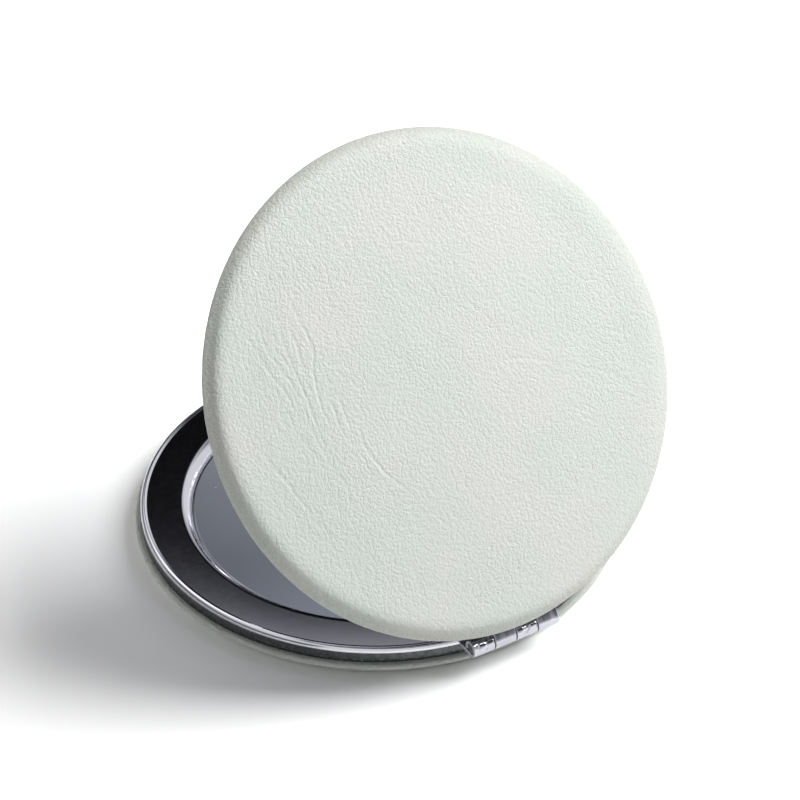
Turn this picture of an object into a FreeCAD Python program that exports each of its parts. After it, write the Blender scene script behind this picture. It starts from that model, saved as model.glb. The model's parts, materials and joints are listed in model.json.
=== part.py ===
"""Round folding pocket mirror: two equal padded halves on one rolled-knuckle hinge.

Millimetres. The origin is the middle of the face that the base rests on, +Z is up, and the
hinge lies across +Y. Each half is modelled lying on its outer face with its hinge at +Y. The
lid's pieces are the same pieces, turned half round, laid behind the hinge and swung up.
"""
import FreeCAD, Part
import os
import re
import Sketcher

doc = FreeCAD.newDocument("PocketMirror")

# Driving sizes
SIZES = [
    ("cover_diameter", "70.0", "outside diameter of the leather cover"),
    ("edge_width", "2.2", "width of the rounding from the cover's face to its side"),
    ("edge_drop", "1.45", "height of the rounding from the cover's face to its side"),
    ("shoulder_round", "0.6", "rounding of the cover from its side to the frame"),
    ("crown", "0.3", "how far the padded face falls from its middle to its edge"),
    ("rest_radius", "25.0", "the part of the base's face that lies flat on the table"),
    ("leather", "0.7", "thickness of the skin"),
    ("edge_margin", "0.3", "extra skin and glue at the edge of the board"),
    ("turn_in", "5.0", "how far the skin is turned in over the board"),
    ("foam", "0.5", "thickness of the sponge in the middle"),
    ("board", "0.5", "thickness of the backing board"),
    ("bonding_tape", "0.1", "tape between board and frame"),
    ("sheet", "0.5", "sheet that the frame is stamped from"),
    ("wall_setback", "0.9", "how far the frame's wall stands inside the cover"),
    ("wall_round", "0.7", "rounding of the frame from its wall to its lip"),
    ("lip_setback", "0.6", "how far the lip's crest lies inside the wall"),
    ("lip_height", "0.15", "how far the lip stands above the flat ring"),
    ("lip_slope", "0.35", "width of the slope from the lip to the flat ring"),
    ("ring_width", "4.75", "width of the flat ring"),
    ("bevel_width", "1.7", "width of the round from the ring down to the ledge"),
    ("bevel_drop", "1.35", "fall of that round"),
    ("ledge_width", "0.05", "width of the ledge under the round"),
    ("ledge_reveal", "0.05", "how far the glass lies below the ledge"),
    ("mirror_tape", "0.1", "tape under the glass"),
    ("glass", "0.8", "thickness of the glass"),
    ("glass_clearance", "0.1", "gap round the glass"),
    ("glass_chamfer", "0.25", "ground edge of the glass"),
    ("dish", "0.3", "depth of the magnifying glass's hollow"),
    ("tape_margin", "2.0", "how far a tape stays back from the edge of what it holds"),
    ("rim_gap", "0.2", "gap between the two lips when shut"),
    ("pin_diameter", "1.4", "hinge pin"),
    ("pin_clearance", "0.05", "running gap round the pin"),
    ("pin_chamfer", "0.2", "bevel at the pin's ends"),
    ("leaf", "0.5", "sheet that the hinge leaves are stamped from"),
    ("knuckle_length", "3.3", "one knuckle of the hinge"),
    ("knuckle_gap", "0.2", "gap between two knuckles"),
    ("knuckle_standoff", "0.6", "gap between a knuckle and the frame's wall"),
    ("curl_end", "25.0", "angle below level where the roll ends, beside the wall"),
    ("leaf_clearance", "0.2", "gap between a leaf and the inside of the frame"),
    ("slot_clearance", "0.1", "gap round a leaf's tab in the wall"),
    ("magnet_diameter", "4.0", "closing magnet"),
    ("magnet_height", "1.2", "closing magnet"),
    ("open_angle", "54.0", "how far the lid stands open"),
]

sheet = doc.addObject("Spreadsheet::Sheet", "Sizes")
for row, (alias, number, meaning) in enumerate(SIZES, start=1):
    sheet.set("A%d" % row, alias)
    sheet.set("B%d" % row, number)
    sheet.set("C%d" % row, meaning)
    sheet.setAlias("B%d" % row, alias)
doc.recompute()

ALIASES = re.compile(r"\b(%s)\b" % "|".join(alias for alias, number, meaning in SIZES))


def formula(text):
    """The text with each size's name pointing at its cell."""
    return ALIASES.sub(r"Sizes.\1", text)


def value(text):
    """What the text comes to with the sizes as they are now."""
    return float(sheet.evalExpression(formula(text)))


# Radii worked out from the driving sizes, from the outside in
COVER_R = "(cover_diameter / 2)"
FACE_R = "(cover_diameter / 2 - edge_width)"
BOARD_R = "(cover_diameter / 2 - leather - edge_margin)"
TURN_IN_R = "(cover_diameter / 2 - turn_in)"
WALL_R = "(cover_diameter / 2 - wall_setback)"
CHANNEL_R = "(%s - sheet)" % WALL_R
LIP_R = "(%s - lip_setback)" % WALL_R
RING_R = "(%s - lip_slope)" % LIP_R
BEVEL_R = "(%s - ring_width)" % RING_R
LEDGE_R = "(%s - bevel_width)" % BEVEL_R
PAN_R = "(%s - ledge_width)" % LEDGE_R
GLASS_R = "(%s - glass_clearance)" % PAN_R

# Heights worked out from the stack of layers, from the outer face inwards
BOARD_Z = "(leather + foam)"
BOARD_TOP = "(%s + board)" % BOARD_Z
COVER_TOP = "(%s + leather)" % BOARD_TOP
PAN_Z = "(%s + bonding_tape)" % BOARD_TOP
PAN_TOP = "(%s + sheet)" % PAN_Z
GLASS_Z = "(%s + mirror_tape)" % PAN_TOP
GLASS_TOP = "(%s + glass)" % GLASS_Z
LEDGE_Z = "(%s + ledge_reveal)" % GLASS_TOP
RING_Z = "(%s + bevel_drop)" % LEDGE_Z
RING_UNDER = "(%s - sheet)" % RING_Z
RIM_Z = "(%s + lip_height)" % RING_Z

# Radius of an arc that leaves a level face and drops by one size over the width of another
EDGE_ROUND = "((edge_width^2 + edge_drop^2) / (2 * edge_drop))"
BEVEL_ROUND = "((bevel_width^2 + bevel_drop^2) / (2 * bevel_drop))"
SEAT_ROUND = "(%s - %s - sheet)" % (BEVEL_R, PAN_R)

# The wall turns into the lip about this centre
ROUND_R = "(%s - wall_round)" % WALL_R
ROUND_Z = "(%s - sqrt(wall_round^2 - (%s - %s)^2))" % (RIM_Z, LIP_R, ROUND_R)

# The hinge: its axis, its knuckles and the strip that carries them
BORE_R = "(pin_diameter / 2 + pin_clearance)"
KNUCKLE_R = "(%s + leaf)" % BORE_R
AXIS_Y = "(%s + knuckle_standoff + %s)" % (WALL_R, KNUCKLE_R)
AXIS_Z = "(%s + rim_gap / 2)" % RIM_Z
HINGE_LENGTH = "(4 * knuckle_length + 3 * knuckle_gap)"
TAB_Z = "(%s - %s)" % (AXIS_Z, KNUCKLE_R)
LEAF_Z = "(%s - leaf)" % RING_UNDER
STRIP_IN = "(%s + leaf_clearance)" % BEVEL_R
STRIP_OUT = "sqrt((%s - leaf_clearance)^2 - (%s / 2)^2)" % (CHANNEL_R, HINGE_LENGTH)

# Where the lid's own frame lies when it stands open
LID_Y = "(%s * (1 - cos(open_angle * 1deg)) + %s * sin(open_angle * 1deg))" % (AXIS_Y, AXIS_Z)
LID_Z = "(%s * sin(open_angle * 1deg) + %s * (1 + cos(open_angle * 1deg)))" % (AXIS_Y, AXIS_Z)
LID_AXIS = "vector(0; -cos(open_angle * 0.5deg); sin(open_angle * 0.5deg))"
PLACES = {
    "base": "placement(vector(0; 0; 0); rotation(vector(0; 0; 1); 0))",
    "lid": "placement(vector(0; %s; %s); rotation(%s; 180))" % (LID_Y, LID_Z, LID_AXIS),
}

TINY = 1e-9
IN_LINE = {"DistanceX": "Vertical", "DistanceY": "Horizontal"}
parts = []


def new_part(half, label):
    """An empty body, placed with the half of the mirror that it belongs to."""
    body = doc.addObject("PartDesign::Body", label)
    body.Label = label
    body.setExpression("Placement", formula(PLACES[half]))
    parts.append(body)
    return body


def new_sketch(body, name, role, shift=None):
    """A sketch on one of the body's origin planes, moved in that plane's own axes by shift."""
    sketch = body.newObject("Sketcher::SketchObject", name)
    plane = [item for item in body.Origin.OriginFeatures if item.Role == role][0]
    sketch.AttachmentSupport = (plane, "")
    sketch.MapMode = "FlatFace"
    for letter, text in (shift or {}).items():
        sketch.setExpression("AttachmentOffset.Base." + letter, formula(text))
    return sketch


def hold(sketch, kind, first, second, text):
    """A dimension between two points, or of one edge when second is empty."""
    index = sketch.addConstraint(Sketcher.Constraint(kind, *first, *second, value(text)))
    sketch.setExpression("Constraints[%d]" % index, formula(text))


def place_point(sketch, point, across, up):
    """Dimensions that hold a point at the two formulas, measured from the sketch's origin."""
    origin = (-1, 1)
    for kind, text in (("DistanceX", across), ("DistanceY", up)):
        size = value(text)
        if abs(size) < TINY:
            sketch.addConstraint(Sketcher.Constraint(IN_LINE[kind], *origin, *point))
        elif size > 0:
            hold(sketch, kind, origin, point, text)
        else:
            hold(sketch, kind, point, origin, "-(%s)" % text)


def round_edge(start, end, radius, side):
    """The arc of that radius, under half a circle, with its centre left (1) or right (-1) of the way."""
    chord = end - start
    left = FreeCAD.Vector(-chord.y, chord.x, 0).normalize()
    depth = max(radius ** 2 - (chord.Length / 2) ** 2, 0) ** 0.5
    centre = (start + end) / 2 + left * (side * depth)
    return Part.Arc(start, centre - left * (side * radius), end)


def outline(body, name, role, corners, shift=None):
    """A closed outline. A corner is (across, up), or (across, up, radius, side) after a round edge."""
    sketch = new_sketch(body, name, role, shift)
    spots = [FreeCAD.Vector(value(corner[0]), value(corner[1]), 0) for corner in corners]
    ends = []
    for number, corner in enumerate(corners):
        start = spots[number - 1]
        end = spots[number]
        if len(corner) == 2:
            edge = sketch.addGeometry(Part.LineSegment(start, end))
        else:
            edge = sketch.addGeometry(round_edge(start, end, value(corner[2]), corner[3]))
        forward = (sketch.getPoint(edge, 2) - end).Length < (sketch.getPoint(edge, 1) - end).Length
        ends.append(((edge, 1), (edge, 2)) if forward else ((edge, 2), (edge, 1)))
    for number, corner in enumerate(corners):
        arrives = ends[number][1]
        leaves = ends[(number + 1) % len(corners)][0]
        sketch.addConstraint(Sketcher.Constraint("Coincident", *arrives, *leaves))
        place_point(sketch, arrives, corner[0], corner[1])
        if len(corner) == 4:
            hold(sketch, "Radius", (arrives[0],), (), corner[2])
    return sketch


def spin(body, corners, role="XZ_Plane", axis="V_Axis", shift=None):
    """A full turn of an outline about one of its sketch's axes."""
    sketch = outline(body, body.Label + "_profile", role, corners, shift)
    turn = body.newObject("PartDesign::Revolution", body.Label + "_turn")
    turn.Profile = sketch
    turn.ReferenceAxis = (sketch, [axis])
    turn.Angle = 360
    return turn


def push(body, name, sketch, length, both_ways=False):
    """A straight push of a sketch, along its normal or half each way."""
    pad = body.newObject("PartDesign::Pad", name)
    pad.Profile = sketch
    pad.SideType = "Symmetric" if both_ways else "One side"
    pad.setExpression("Length", formula(length))
    return pad


def disc(half, label, radius, low, high):
    """A flat round piece between two heights."""
    body = new_part(half, label)
    spin(body, [("0", low), (radius, low), (radius, high), ("0", high)])


# A padded face falls away from its middle, or from the flat that the base rests on
FLATS = {"base": "rest_radius", "lid": "0"}


def face_curve(half, level):
    """Corners of the padded face at a level, from the axis out to where the edge starts to turn."""
    flat = FLATS[half]
    reach = "(%s - %s)" % (FACE_R, flat)
    bend = "((%s^2 + crown^2) / (2 * crown))" % reach
    middle = [("0", level)]
    if flat != "0":
        middle.append((flat, level))
    return middle + [(FACE_R, "(%s + crown)" % level, bend, 1)]


def leather_cover(half):
    """The skin: crowned face, round edge, side, round shoulder, and the margin turned in over the board."""
    outside = face_curve(half, "0") + [
        (COVER_R, "(crown + edge_drop)", EDGE_ROUND, 1),
        (COVER_R, "(%s - shoulder_round)" % COVER_TOP),
        ("(%s - shoulder_round)" % COVER_R, COVER_TOP, "shoulder_round", 1),
        (TURN_IN_R, COVER_TOP),
        (TURN_IN_R, BOARD_TOP),
        (BOARD_R, BOARD_TOP),
        (BOARD_R, BOARD_Z),
    ]
    inner_face = face_curve(half, "leather")
    bend, side = inner_face[-1][2:]
    way_back = [corner[:2] for corner in reversed(inner_face)]
    way_back[1] = way_back[1] + (bend, -side)
    spin(new_part(half, half + "_leather_cover"), outside + way_back)


def foam_pad(half):
    """The sponge fills the space between the skin's face and the board."""
    corners = face_curve(half, "leather") + [(BOARD_R, BOARD_Z), ("0", BOARD_Z)]
    spin(new_part(half, half + "_foam_pad"), corners)


def knuckle_start(number):
    """Where a half's first or second knuckle starts along the hinge, in that half's own frame."""
    return "(%s / 2 - knuckle_length - %d * (knuckle_length + knuckle_gap))" % (HINGE_LENGTH, 2 * number)


def frame(half):
    """Stamped pan: wall, lip, flat ring, round, ledge and mirror seat, with a slot for each hinge tab."""
    body = new_part(half, half + "_frame")
    turn = spin(body, [
        ("0", PAN_Z),
        ("(%s + sheet)" % PAN_R, PAN_Z),
        ("(%s + sheet)" % PAN_R, "(%s - %s)" % (RING_UNDER, SEAT_ROUND)),
        (BEVEL_R, RING_UNDER, SEAT_ROUND, -1),
        (CHANNEL_R, RING_UNDER),
        (CHANNEL_R, COVER_TOP),
        (WALL_R, COVER_TOP),
        (WALL_R, ROUND_Z),
        (LIP_R, RIM_Z, "wall_round", 1),
        (RING_R, RING_Z),
        (BEVEL_R, RING_Z),
        (LEDGE_R, LEDGE_Z, BEVEL_ROUND, 1),
        (PAN_R, LEDGE_Z),
        (PAN_R, PAN_TOP),
        ("0", PAN_TOP),
    ])
    low = "(min(%s; %s) - slot_clearance)" % (TAB_Z, LEAF_Z)
    high = "max(%s; %s + leaf)" % (RING_UNDER, TAB_Z)
    past_wall = "(%s + sheet)" % WALL_R
    slot = [(STRIP_OUT, low), (past_wall, low), (past_wall, high), (STRIP_OUT, high)]
    for number in range(2):
        start = "(%s - slot_clearance)" % knuckle_start(number)
        name = "%s_slot_%d" % (body.Label, number + 1)
        sketch = outline(body, name + "_profile", "YZ_Plane", slot, {"z": start})
        cut = body.newObject("PartDesign::Pocket", name)
        cut.Profile = sketch
        cut.Reversed = True
        cut.setExpression("Length", formula("knuckle_length + 2 * slot_clearance"))
    doc.recompute()
    if body.Shape.Volume >= turn.Shape.Volume:
        raise ValueError("the hinge slots cut nothing in " + body.Label)


def mirror(half):
    """Glass disc with a ground edge. The lid's is hollowed, so that it magnifies."""
    rim_r = "(%s - glass_chamfer)" % GLASS_R
    corners = [
        ("0", GLASS_Z),
        (GLASS_R, GLASS_Z),
        (GLASS_R, "(%s - glass_chamfer)" % GLASS_TOP),
        (rim_r, GLASS_TOP),
    ]
    if half == "lid":
        bend = "((%s^2 + dish^2) / (2 * dish))" % rim_r
        corners.append(("0", "(%s - dish)" % GLASS_TOP, bend, -1))
    else:
        corners.append(("0", GLASS_TOP))
    spin(new_part(half, half + "_mirror"), corners)


def hinge_leaf(half):
    """Strip under the ring whose two tabs pass through the wall and roll into knuckles."""
    body = new_part(half, half + "_hinge_leaf")
    strip = [
        (STRIP_IN, LEAF_Z),
        (STRIP_OUT, LEAF_Z),
        (STRIP_OUT, RING_UNDER),
        (STRIP_IN, RING_UNDER),
    ]
    push(body, body.Label + "_strip", outline(body, body.Label + "_strip_profile", "YZ_Plane", strip),
         HINGE_LENGTH, True)
    root = "(%s - leaf)" % STRIP_OUT
    tab_top = "(%s + leaf)" % TAB_Z
    end_across = "cos(curl_end * 1deg)"
    end_down = "sin(curl_end * 1deg)"
    roll = [
        (root, LEAF_Z),
        (STRIP_OUT, LEAF_Z),
        (AXIS_Y, TAB_Z),
        ("(%s + %s)" % (AXIS_Y, KNUCKLE_R), AXIS_Z, KNUCKLE_R, 1),
        (AXIS_Y, "(%s + %s)" % (AXIS_Z, KNUCKLE_R), KNUCKLE_R, 1),
        ("(%s - %s * %s)" % (AXIS_Y, KNUCKLE_R, end_across),
         "(%s - %s * %s)" % (AXIS_Z, KNUCKLE_R, end_down), KNUCKLE_R, 1),
        ("(%s - %s * %s)" % (AXIS_Y, BORE_R, end_across),
         "(%s - %s * %s)" % (AXIS_Z, BORE_R, end_down)),
        (AXIS_Y, "(%s + %s)" % (AXIS_Z, BORE_R), BORE_R, -1),
        ("(%s + %s)" % (AXIS_Y, BORE_R), AXIS_Z, BORE_R, -1),
        (AXIS_Y, tab_top, BORE_R, -1),
        (STRIP_OUT, RING_UNDER),
        (root, RING_UNDER),
    ]
    for number in range(2):
        name = "%s_knuckle_%d" % (body.Label, number + 1)
        sketch = outline(body, name + "_profile", "YZ_Plane", roll, {"z": knuckle_start(number)})
        push(body, name, sketch, "knuckle_length")


def hinge_pin():
    """Wire with bevelled ends, swaged up to the bore in the base's end knuckle so that it can't walk out."""
    body = new_part("base", "hinge_pin")
    end = "(%s / 2)" % HINGE_LENGTH
    grip = "(%s - knuckle_length + knuckle_gap)" % end
    spin(body, [
        ("-%s" % end, "0"),
        ("-%s" % end, "(pin_diameter / 2 - pin_chamfer)"),
        ("-(%s - pin_chamfer)" % end, "pin_diameter / 2"),
        (grip, "pin_diameter / 2"),
        (grip, BORE_R),
        ("(%s - pin_chamfer)" % end, BORE_R),
        (end, "(%s - pin_chamfer)" % BORE_R),
        (end, "0"),
    ], "XY_Plane", "H_Axis", {"y": AXIS_Y, "z": AXIS_Z})


def magnet(half):
    """Small disc against the underside of the ring, opposite the hinge."""
    body = new_part(half, half + "_magnet")
    sketch = new_sketch(body, body.Label + "_profile", "XY_Plane", {"z": "%s - magnet_height" % RING_UNDER})
    middle = "(%s + %s) / 2" % (CHANNEL_R, BEVEL_R)
    centre = FreeCAD.Vector(0, -value(middle), 0)
    circle = sketch.addGeometry(Part.Circle(centre, FreeCAD.Vector(0, 0, 1), value("magnet_diameter / 2")))
    place_point(sketch, (circle, 3), "0", "-(%s)" % middle)
    hold(sketch, "Radius", (circle,), (), "magnet_diameter / 2")
    push(body, body.Label + "_disc", sketch, "magnet_height")


def half_mirror(half):
    """All pieces of one half, from the outside in."""
    leather_cover(half)
    foam_pad(half)
    disc(half, half + "_backing_board", BOARD_R, BOARD_Z, BOARD_TOP)
    disc(half, half + "_bonding_tape", "(%s - tape_margin)" % PAN_R, BOARD_TOP, PAN_Z)
    frame(half)
    disc(half, half + "_mirror_tape", "(%s - tape_margin)" % GLASS_R, PAN_TOP, GLASS_Z)
    mirror(half)
    hinge_leaf(half)
    magnet(half)


half_mirror("base")
half_mirror("lid")
hinge_pin()
doc.recompute()

for item in doc.Objects:
    if "Invalid" in item.State or "Error" in item.State:
        raise ValueError("%s failed: %s" % (item.Label, item.State))
for body in parts:
    if body.Shape.isNull() or not body.Shape.isValid() or len(body.Shape.Solids) != 1:
        raise ValueError(body.Label + " is not one valid solid")

os.makedirs("parts", exist_ok=True)
for body in parts:
    body.Shape.exportStep("parts/%s.step" % body.Label)
    box = body.Shape.optimalBoundingBox(False)
    print("%-20s %9.2f mm3  y %7.2f to %6.2f  z %6.2f to %6.2f" % (
        body.Label, body.Shape.Volume, box.YMin, box.YMax, box.ZMin, box.ZMax))
print("hinge axis at y %.3f, z %.3f" % (value(AXIS_Y), value(AXIS_Z)))
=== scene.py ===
# %% [markdown]
# # A round folding pocket mirror
# Two equal padded halves are joined by a small rolled hinge. The CAD model gives every piece its
# place and size, so this lesson never fits anything by eye: it loads that model as a frame, builds
# finer surfaces for what shows, and gives each piece the finish of its real material.

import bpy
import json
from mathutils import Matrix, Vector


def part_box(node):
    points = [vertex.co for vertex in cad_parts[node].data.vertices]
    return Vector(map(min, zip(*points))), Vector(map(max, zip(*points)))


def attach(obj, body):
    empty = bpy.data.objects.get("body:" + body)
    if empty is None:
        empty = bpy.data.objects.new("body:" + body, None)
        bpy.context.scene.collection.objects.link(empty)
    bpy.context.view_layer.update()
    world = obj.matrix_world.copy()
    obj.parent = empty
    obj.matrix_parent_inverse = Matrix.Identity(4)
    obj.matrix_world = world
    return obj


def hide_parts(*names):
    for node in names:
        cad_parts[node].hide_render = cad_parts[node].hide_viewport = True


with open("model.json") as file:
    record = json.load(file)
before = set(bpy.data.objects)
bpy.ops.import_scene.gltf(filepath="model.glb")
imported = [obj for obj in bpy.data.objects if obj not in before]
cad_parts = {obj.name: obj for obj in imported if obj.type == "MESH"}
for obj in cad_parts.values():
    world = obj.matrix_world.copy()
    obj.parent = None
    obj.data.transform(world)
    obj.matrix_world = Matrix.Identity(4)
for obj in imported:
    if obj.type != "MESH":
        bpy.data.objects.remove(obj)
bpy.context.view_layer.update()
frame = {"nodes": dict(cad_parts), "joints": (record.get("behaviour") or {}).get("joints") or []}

# %% [markdown]
# ## Sizes
# Modelling is easier in millimetres, so each size is read from the frame once and kept in them.
# What a box can't tell, such as the steps of the stamped frame, is named with its real size where it
# is first needed.

# %% Read the sizes of one half
import json
import math

import bpy
import numpy as np
from mathutils import Vector

MM = 0.001


def reach(node):
    """Lowest and highest corner of a CAD node, in millimetres."""
    low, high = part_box(node)
    return np.round(np.array(low) / MM, 4), np.round(np.array(high) / MM, 4)


COVER_R, _, COVER_TOP = reach("base_leather_cover")[1]
PAD_R, _, BOARD_Z = reach("base_foam_pad")[1]
PAD_Z = reach("base_foam_pad")[0][2]
BOARD_TOP = reach("base_backing_board")[1][2]
WALL_R, _, RIM_Z = reach("base_frame")[1]
PAN_Z = reach("base_frame")[0][2]
GLASS_R, _, GLASS_TOP = reach("base_mirror")[1]
GLASS_Z = reach("base_mirror")[0][2]
print("cover %.2f, wall %.2f, glass %.2f mm in radius" % (COVER_R, WALL_R, GLASS_R))
print("rim %.2f mm high" % RIM_Z)

# %% Place the two halves
hinge = frame["joints"][0]
AXIS = np.array(hinge["pos_m"]) / MM
OPEN = math.radians(-hinge["range_deg"][0])
swing = math.pi - OPEN
TURN = {
    "base": np.eye(3),
    "lid": np.array([
        [-1, 0, 0],
        [0, -math.cos(swing), -math.sin(swing)],
        [0, -math.sin(swing), math.cos(swing)],
    ]),
}
SHIFT = {half: AXIS - turn @ AXIS for half, turn in TURN.items()}
print("the lid stands open by %.0f degrees" % math.degrees(OPEN))
print("it turns about y %.2f, z %.2f mm" % (AXIS[1], AXIS[2]))

# %% [markdown]
# ## Camera
# The camera was fitted to edges measured in the photograph. A long lens from half a metre away keeps
# the two discs nearly free of perspective, as the photograph does.

# %% Set up the camera
CAMERA_AT = (205.1, 339.2, 320.0)
LOOK_AT = (-7.2, -5.2, 15.6)
LENS = 157.7

camera = bpy.data.objects.new("camera", bpy.data.cameras.new("camera"))
bpy.context.scene.collection.objects.link(camera)
camera.data.lens = LENS
camera.location = Vector(CAMERA_AT) * MM
camera.rotation_euler = (Vector(LOOK_AT) - Vector(CAMERA_AT)).to_track_quat("-Z", "Y").to_euler()
bpy.context.scene.camera = camera
print("camera at %.0f mm" % (Vector(CAMERA_AT) - Vector(LOOK_AT)).length)

# %% [markdown]
# ## From arrays to pieces
# A piece is one or more closed shells. A shell is an array of points, arrays of faces that index
# them, and a normal for each point where the shape knows it exactly. Chrome shows the smallest error
# in a normal as a bent reflection, so exact normals are worth the trouble. A finish that changes over a
# piece reads a value that is kept on each point.


# %% Make a piece
def volume(points, faces):
    """Sum of the signed tetrahedra between the origin and the faces: above 0 if they point outwards."""
    total = 0.0
    for group in faces:
        for k in range(1, group.shape[1] - 1):
            a, b, c = points[group[:, 0]], points[group[:, k]], points[group[:, k + 1]]
            total += np.einsum("ij,ij->", a, np.cross(b, c)) / 6
    return total


def make_piece(name, half, shells, finish, stands_for):
    """Joins shells of (points, faces, normals), places them with their half, and rides them on its body."""
    points, faces, normals, count = [], [], [], 0
    for shell_points, shell_faces, shell_normals in shells:
        if volume(shell_points, shell_faces) <= 0:
            raise ValueError(name + " has a shell that is inside out")
        points.append(shell_points @ TURN[half].T + SHIFT[half])
        faces += [face for group in shell_faces for face in (group + count).tolist()]
        normals.append(None if shell_normals is None else shell_normals @ TURN[half].T)
        count += len(shell_points)
    mesh = bpy.data.meshes.new(name)
    mesh.from_pydata((np.vstack(points) * MM).tolist(), [], faces)
    mesh.shade_smooth()
    if all(n is not None for n in normals):
        mesh.normals_split_custom_set_from_vertices(np.vstack(normals).tolist())
    mesh.materials.append(finish)
    piece = bpy.data.objects.new(name, mesh)
    bpy.context.scene.collection.objects.link(piece)
    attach(piece, half)
    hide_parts(stands_for)
    filled = sum(volume(shell[0], shell[1]) for shell in shells) / 1000
    print("%s: %d faces, %.2f cubic centimetres" % (name, len(faces), filled))
    return piece


def mark(piece, name, values):
    """Keeps one value on each point of a piece, for its finish to read."""
    marks = piece.data.attributes.new(name, "FLOAT", "POINT")
    marks.data.foreach_set("value", values.astype(np.float32))


# %% [markdown]
# ## Nodes
# Every finish is a small tree of shader nodes. One helper adds a node, sets it and links it. Colours
# are written as the sRGB values that a painter would pick, and turned to the linear ones that light
# is reckoned in. A pattern's scale is worked out from its real size.


# %% Helpers for finishes
def linear(code):
    """An sRGB hex colour as linear red, green, blue and alpha."""
    srgb = np.array([int(code[k:k + 2], 16) for k in (1, 3, 5)]) / 255
    rgb = np.where(srgb <= 0.04045, srgb / 12.92, ((srgb + 0.055) / 1.055) ** 2.4)
    return (*rgb.tolist(), 1.0)


def per_metre(size):
    """The texture scale at which a pattern repeats about every so many millimetres."""
    return 1 / (size * MM)


def add(tree, kind, values=None, ramp=(), **settings):
    """Adds one node: settings are its properties, values its inputs, each a socket or a constant.

    A ramp lists the stops of its colours, each as its position and its sRGB code.
    """
    node = tree.nodes.new("ShaderNode" + kind)
    for key, setting in settings.items():
        setattr(node, key, setting)
    for k, (position, code) in enumerate(ramp):
        node.color_ramp.elements[k].position = position
        node.color_ramp.elements[k].color = linear(code)
    for key, value in (values or {}).items():
        if isinstance(value, bpy.types.NodeSocket):
            tree.links.new(value, node.inputs[key])
        else:
            node.inputs[key].default_value = value
    return node


def new_finish(name):
    """A material with an empty tree, and that tree."""
    material = bpy.data.materials.new(name)
    material.use_nodes = True
    material.node_tree.nodes.clear()
    return material, material.node_tree


# %% [markdown]
# ## Leather
# The covers are polyurethane leather: a cloth with a soft coat, embossed with a pebble grain of about
# half a millimetre and finished satin. What the eye sees is the grain in the raking light, a
# net of shallow wrinkles, and a colour that hardly changes. The grain is far finer than any mesh, so it
# is bump. The long creases are in the mesh, because they are folds. Over the edge roll the colour is
# painted darker, warmer and speckled, as painted shade. The value named painted_edge_shade says where that
# is.

# %% Satin polyurethane leather
PEBBLE, GRIT, WRINKLE, FINE_FOLD = 0.45, 0.24, 1.15, 1.5
DRIFT, DRIFT_REACH = 2.5, 1.4 * MM
PATCH, CLOUD = 11.0, 16.0
FOLD_LEAN, FOLD_STRETCH = math.radians(-13), 5.0
FOLDS_FROM, FOLDS_TO, FOLDS_SHARE = 8 * MM, 20 * MM, 0.28
NET_LEAST, NET_MOST = 0.1, 0.4
FURROW = 0.1
GRIT_SHARE, GRAIN_DEPTH = 0.9, 0.072 * MM
# Painted shade: over the edge roll the coat's colour is multiplied by this darker, warmer tint
EDGE_SHADE_TINT = (0.8, 0.785, 0.75)


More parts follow.
